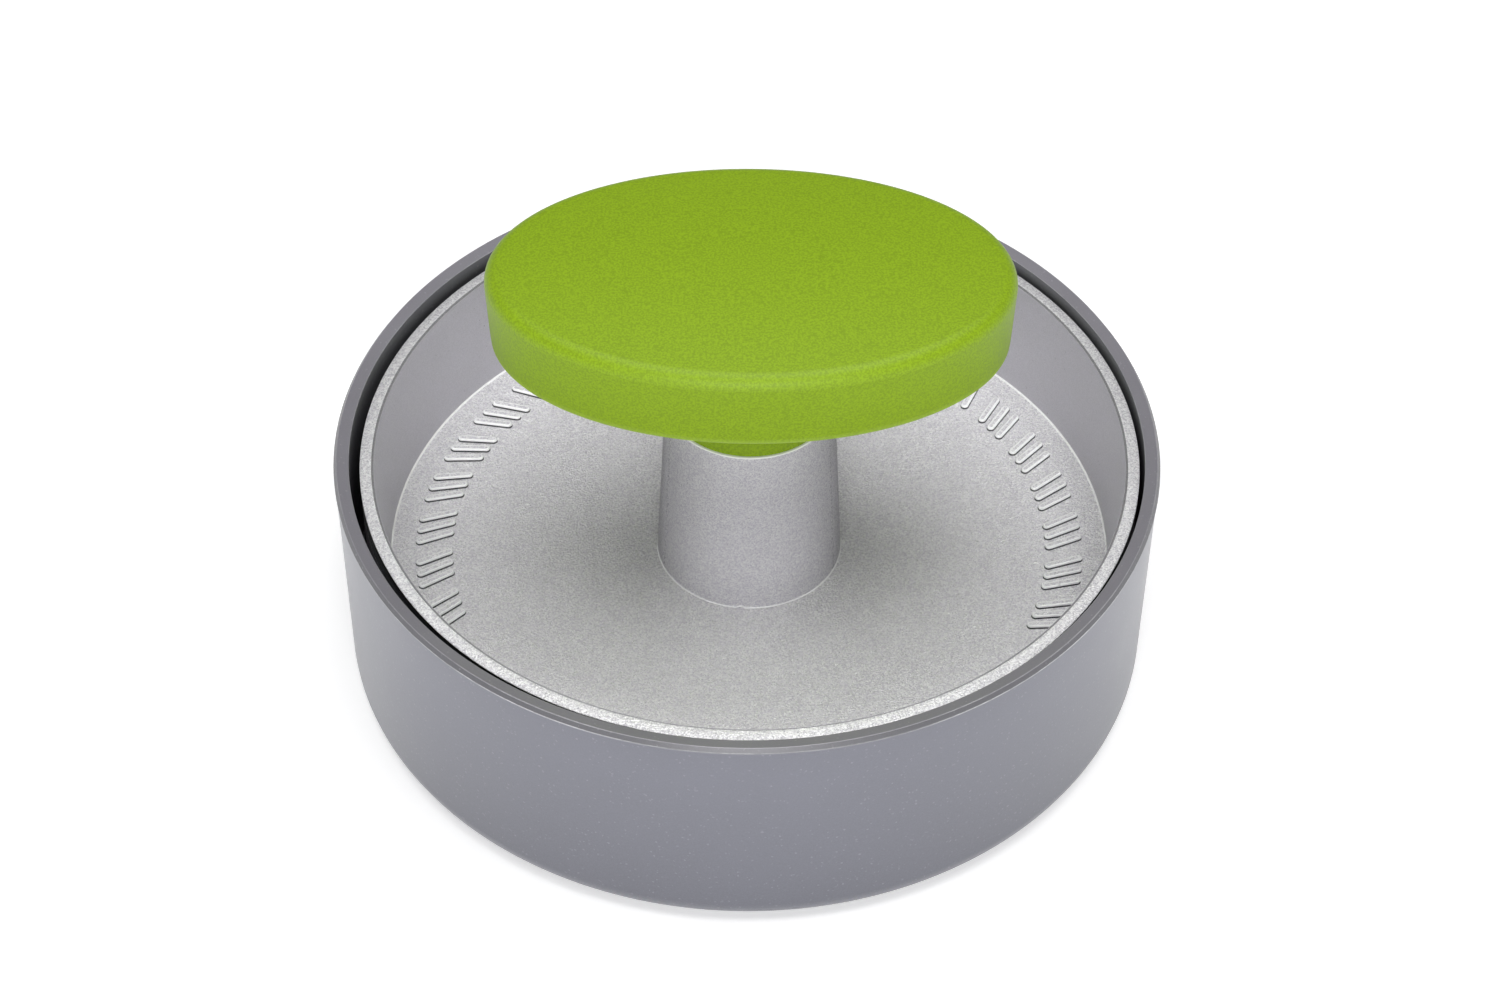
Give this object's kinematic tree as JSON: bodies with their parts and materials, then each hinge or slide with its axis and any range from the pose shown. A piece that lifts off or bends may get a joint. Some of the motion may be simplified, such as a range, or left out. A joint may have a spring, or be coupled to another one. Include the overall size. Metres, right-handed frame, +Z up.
{
  "type": "patty press",
  "caption": "Round patty press: a coated mould cup, a dished press plate on a hollow tapered stem, and an oval palm grip; the press lifts straight out of the cup.",
  "frame": {"origin": "centre of the mould cup's underside, on the cup's axis, on the surface it stands on", "axes": "+Z up, the way the press lifts out; +X along the grip's long side; -Y towards the person"},
  "size_m": [0.12, 0.12, 0.0725],
  "materials": {
    "grey_coating": "satin grey non-stick coating on cast aluminium",
    "silver_casting": "fine-grained silver die casting",
    "green_plastic": "matte moulded plastic",
    "steel": "plain stainless screws",
    "brass": "turned",
    "silicone": "matte food-grade silicone"
  },
  "bodies": {
    "mould": {"mould_cup": "grey_coating"},
    "press": {"press_plate": "silver_casting", "stem": "silver_casting", "stem_seal": "silicone", "fixing_screw": "steel", "threaded_insert": "brass", "grip_base": "green_plastic", "grip_cover": "green_plastic", "grip_screw_left": "steel", "grip_screw_right": "steel"}
  },
  "joints": [
    {"name": "press_lift", "type": "slide", "parent": "mould", "child": "press", "axis": [0, 0, 1], "range_m": [0, 0.06]}
  ]
}
